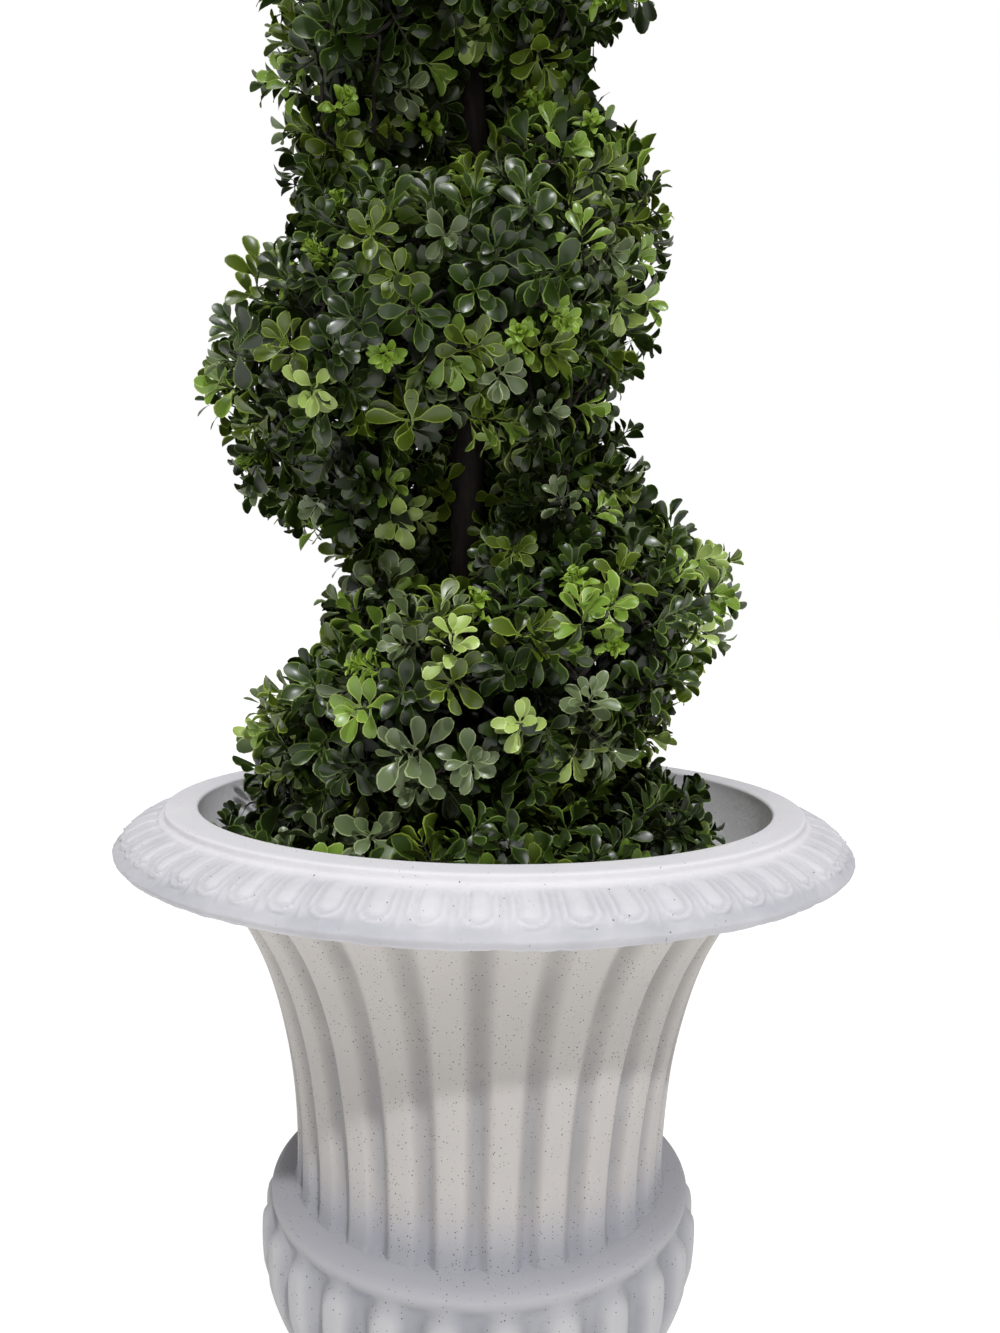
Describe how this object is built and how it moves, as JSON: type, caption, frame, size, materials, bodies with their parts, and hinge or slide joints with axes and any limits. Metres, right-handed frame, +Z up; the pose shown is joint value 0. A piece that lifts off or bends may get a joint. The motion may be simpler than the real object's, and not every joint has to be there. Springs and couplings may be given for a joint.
{
  "type": "artificial spiral boxwood topiary in a planter urn",
  "caption": "Artificial spiral boxwood topiary: one band of small leaves winding up a bare trunk, standing in a round fluted pedestal urn with a wide rim.",
  "frame": {"origin": "centre of the plinth's flat underside, straight below the urn's axis", "axes": "+Z up along the urn's axis, -Y the front, +X to the right of someone facing the front"},
  "size_m": [0.42, 0.42, 1.355],
  "materials": {
    "cast_stone": "matt, finely speckled off-white cast stone",
    "potting_mix": "matt dark brown filler",
    "bark": "matt dark grey-brown bark",
    "leaves": "satin leaves in dark green with yellow-green young sprays"
  },
  "bodies": {
    "root": {"urn_plinth": "cast_stone", "urn_foot": "cast_stone", "urn_bowl": "cast_stone", "urn_bell": "cast_stone", "urn_rim": "cast_stone", "soil": "potting_mix", "trunk": "bark", "skirt_foliage_1": "leaves", "skirt_foliage_2": "leaves", "skirt_foliage_3": "leaves", "spiral_foliage_01": "leaves", "spiral_foliage_02": "leaves", "spiral_foliage_03": "leaves", "spiral_foliage_04": "leaves", "spiral_foliage_05": "leaves", "spiral_foliage_06": "leaves", "spiral_foliage_07": "leaves", "spiral_foliage_08": "leaves", "spiral_foliage_09": "leaves", "spiral_foliage_10": "leaves", "spiral_foliage_11": "leaves", "spiral_foliage_12": "leaves", "spiral_foliage_13": "leaves", "spiral_foliage_14": "leaves", "spiral_foliage_15": "leaves", "spiral_foliage_16": "leaves", "spiral_foliage_17": "leaves", "spiral_foliage_18": "leaves", "tip_foliage": "leaves"}
  },
  "joints": []
}
